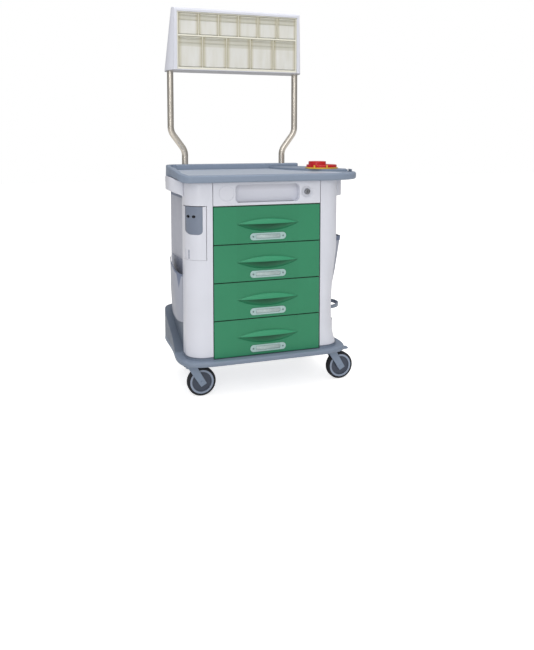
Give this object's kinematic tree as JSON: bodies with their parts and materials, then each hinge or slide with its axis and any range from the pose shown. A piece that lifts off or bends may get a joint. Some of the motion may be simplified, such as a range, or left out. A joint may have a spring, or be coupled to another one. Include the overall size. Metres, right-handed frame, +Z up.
{
  "type": "hospital procedure trolley",
  "caption": "Drawer trolley on swivel casters with a moulded worktop, side pockets, push handles and a tube bridge carrying tilting clear bins.",
  "frame": {"origin": "on the floor, in the middle of the trolley's bounding box in plan", "axes": "+X to the right as seen from the drawers, +Y from the drawer fronts to the back, +Z up"},
  "size_m": [0.8682, 0.606, 1.718],
  "materials": {
    "moulding_grey": "fine moulded grain",
    "column_white": "satin",
    "panel_grey": "satin",
    "pocket_grey": "satin",
    "trim_grey": "satin",
    "drawer_green": "satin",
    "tray_grey": "satin",
    "label_clear": "gloss",
    "carcass_paint": "powder coat",
    "zinc": "zinc plated",
    "lock_chrome": "polished",
    "steel_tube": "brushed",
    "frame_cream": "gloss",
    "bin_clear": "clear, slightly yellowed",
    "sharps_yellow": "gloss",
    "sharps_red": "gloss",
    "fork_grey": "satin",
    "tyre_black": "matt",
    "wheel_grey": "satin"
  },
  "bodies": {
    "cabinet": {"base": "moulding_grey", "caster_heads": "zinc", "carcass": "carcass_paint", "column_left": "column_white", "column_right": "column_white", "side_panels": "panel_grey", "panel_screws": "zinc", "fascia": "column_white", "lock_housing": "lock_chrome", "drawer_rails": "zinc", "worktop": "moulding_grey", "push_handles": "column_white", "side_pockets": "pocket_grey", "bottle_ring": "trim_grey", "bottle_cup": "column_white", "sharps_tub": "sharps_yellow", "uprights": "steel_tube", "bin_housing": "column_white", "bin_frame": "frame_cream"},
    "drawer_1": {"drawer_front_1": "drawer_green", "drawer_tray_1": "tray_grey", "label_holder_1": "label_clear"},
    "drawer_2": {"drawer_front_2": "drawer_green", "drawer_tray_2": "tray_grey", "label_holder_2": "label_clear"},
    "drawer_3": {"drawer_front_3": "drawer_green", "drawer_tray_3": "tray_grey", "label_holder_3": "label_clear"},
    "drawer_4": {"drawer_front_4": "drawer_green", "drawer_tray_4": "tray_grey", "label_holder_4": "label_clear"},
    "bin_lower_1": {"tilt_bin_lower_1": "bin_clear"},
    "bin_lower_2": {"tilt_bin_lower_2": "bin_clear"},
    "bin_lower_3": {"tilt_bin_lower_3": "bin_clear"},
    "bin_lower_4": {"tilt_bin_lower_4": "bin_clear"},
    "bin_lower_5": {"tilt_bin_lower_5": "bin_clear"},
    "bin_upper_1": {"tilt_bin_upper_1": "bin_clear"},
    "bin_upper_2": {"tilt_bin_upper_2": "bin_clear"},
    "bin_upper_3": {"tilt_bin_upper_3": "bin_clear"},
    "bin_upper_4": {"tilt_bin_upper_4": "bin_clear"},
    "bin_upper_5": {"tilt_bin_upper_5": "bin_clear"},
    "bin_upper_6": {"tilt_bin_upper_6": "bin_clear"},
    "door": {"column_door": "column_white", "door_insert": "trim_grey"},
    "lock": {"lock_core": "lock_chrome"},
    "sharps_cover": {"sharps_lid": "sharps_red"},
    "swivel_front_left": {"caster_fork_front_left": "fork_grey"},
    "wheel_front_left": {"caster_tyre_front_left": "tyre_black", "wheel_centre_front_left": "wheel_grey"},
    "swivel_front_right": {"caster_fork_front_right": "fork_grey"},
    "wheel_front_right": {"caster_tyre_front_right": "tyre_black", "wheel_centre_front_right": "wheel_grey"},
    "brake_front_right": {"brake_pedal_front_right": "fork_grey"},
    "swivel_rear_left": {"caster_fork_rear_left": "fork_grey"},
    "wheel_rear_left": {"caster_tyre_rear_left": "tyre_black", "wheel_centre_rear_left": "wheel_grey"},
    "brake_rear_left": {"brake_pedal_rear_left": "fork_grey"},
    "swivel_rear_right": {"caster_fork_rear_right": "fork_grey"},
    "wheel_rear_right": {"caster_tyre_rear_right": "tyre_black", "wheel_centre_rear_right": "wheel_grey"}
  },
  "joints": [
    {"name": "drawer_1_slide", "type": "slide", "parent": "cabinet", "child": "drawer_1", "axis": [0, -1, 0], "range_m": [0, 0.36]},
    {"name": "drawer_2_slide", "type": "slide", "parent": "cabinet", "child": "drawer_2", "axis": [0, -1, 0], "range_m": [0, 0.36]},
    {"name": "drawer_3_slide", "type": "slide", "parent": "cabinet", "child": "drawer_3", "axis": [0, -1, 0], "range_m": [0, 0.36]},
    {"name": "drawer_4_slide", "type": "slide", "parent": "cabinet", "child": "drawer_4", "axis": [0, -1, 0], "range_m": [0, 0.36]},
    {"name": "bin_lower_1_tilt", "type": "hinge", "parent": "cabinet", "child": "bin_lower_1", "pos_m": [-0.2647, 0.169, 1.4505], "axis": [1, 0, 0], "range_deg": [0, 45]},
    {"name": "bin_lower_2_tilt", "type": "hinge", "parent": "cabinet", "child": "bin_lower_2", "pos_m": [-0.1467, 0.169, 1.4505], "axis": [1, 0, 0], "range_deg": [0, 45]},
    {"name": "bin_lower_3_tilt", "type": "hinge", "parent": "cabinet", "child": "bin_lower_3", "pos_m": [-0.0287, 0.169, 1.4505], "axis": [1, 0, 0], "range_deg": [0, 45]},
    {"name": "bin_lower_4_tilt", "type": "hinge", "parent": "cabinet", "child": "bin_lower_4", "pos_m": [0.0893, 0.169, 1.4505], "axis": [1, 0, 0], "range_deg": [0, 45]},
    {"name": "bin_lower_5_tilt", "type": "hinge", "parent": "cabinet", "child": "bin_lower_5", "pos_m": [0.2073, 0.169, 1.4505], "axis": [1, 0, 0], "range_deg": [0, 45]},
    {"name": "bin_upper_1_tilt", "type": "hinge", "parent": "cabinet", "child": "bin_upper_1", "pos_m": [-0.27453, 0.169, 1.6015], "axis": [1, 0, 0], "range_deg": [0, 45]},
    {"name": "bin_upper_2_tilt", "type": "hinge", "parent": "cabinet", "child": "bin_upper_2", "pos_m": [-0.1762, 0.169, 1.6015], "axis": [1, 0, 0], "range_deg": [0, 45]},
    {"name": "bin_upper_3_tilt", "type": "hinge", "parent": "cabinet", "child": "bin_upper_3", "pos_m": [-0.07787, 0.169, 1.6015], "axis": [1, 0, 0], "range_deg": [0, 45]},
    {"name": "bin_upper_4_tilt", "type": "hinge", "parent": "cabinet", "child": "bin_upper_4", "pos_m": [0.02047, 0.169, 1.6015], "axis": [1, 0, 0], "range_deg": [0, 45]},
    {"name": "bin_upper_5_tilt", "type": "hinge", "parent": "cabinet", "child": "bin_upper_5", "pos_m": [0.1188, 0.169, 1.6015], "axis": [1, 0, 0], "range_deg": [0, 45]},
    {"name": "bin_upper_6_tilt", "type": "hinge", "parent": "cabinet", "child": "bin_upper_6", "pos_m": [0.21713, 0.169, 1.6015], "axis": [1, 0, 0], "range_deg": [0, 45]},
    {"name": "column_door_hinge", "type": "hinge", "parent": "cabinet", "child": "door", "pos_m": [-0.3052, -0.262, 0.713], "axis": [0, 0, 1], "range_deg": [0, 95]},
    {"name": "lock_turn", "type": "hinge", "parent": "cabinet", "child": "lock", "pos_m": [0.1543, -0.265, 0.878], "axis": [0, 1, 0], "range_deg": [0, 90]},
    {"name": "sharps_lid_lift", "type": "slide", "parent": "cabinet", "child": "sharps_cover", "axis": [0, 0, 1], "range_m": [0, 0.06]},
    {"name": "caster_front_left_swivel", "type": "hinge", "parent": "cabinet", "child": "swivel_front_left", "pos_m": [-0.3567, -0.205, 0.14], "axis": [0, 0, 1], "continuous": true},
    {"name": "caster_front_left_roll", "type": "hinge", "parent": "swivel_front_left", "child": "wheel_front_left", "pos_m": [-0.3147, -0.205, 0.0625], "axis": [0, -1, 0], "continuous": true},
    {"name": "caster_front_right_swivel", "type": "hinge", "parent": "cabinet", "child": "swivel_front_right", "pos_m": [0.2993, -0.205, 0.14], "axis": [0, 0, 1], "continuous": true},
    {"name": "caster_front_right_roll", "type": "hinge", "parent": "swivel_front_right", "child": "wheel_front_right", "pos_m": [0.3413, -0.205, 0.0625], "axis": [0, -1, 0], "continuous": true},
    {"name": "brake_front_right_press", "type": "hinge", "parent": "swivel_front_right", "child": "brake_front_right", "pos_m": [0.3303, -0.205, 0.137], "axis": [0, 1, 0], "range_deg": [0, 12]},
    {"name": "caster_rear_left_swivel", "type": "hinge", "parent": "cabinet", "child": "swivel_rear_left", "pos_m": [-0.3187, 0.14, 0.14], "axis": [0, 0, 1], "continuous": true},
    {"name": "caster_rear_left_roll", "type": "hinge", "parent": "swivel_rear_left", "child": "wheel_rear_left", "pos_m": [-0.2767, 0.14, 0.0625], "axis": [0, -1, 0], "continuous": true},
    {"name": "brake_rear_left_press", "type": "hinge", "parent": "swivel_rear_left", "child": "brake_rear_left", "pos_m": [-0.2877, 0.14, 0.137], "axis": [0, 1, 0], "range_deg": [0, 12]},
    {"name": "caster_rear_right_swivel", "type": "hinge", "parent": "cabinet", "child": "swivel_rear_right", "pos_m": [0.2613, 0.14, 0.14], "axis": [0, 0, 1], "continuous": true},
    {"name": "caster_rear_right_roll", "type": "hinge", "parent": "swivel_rear_right", "child": "wheel_rear_right", "pos_m": [0.3033, 0.14, 0.0625], "axis": [0, -1, 0], "continuous": true}
  ]
}
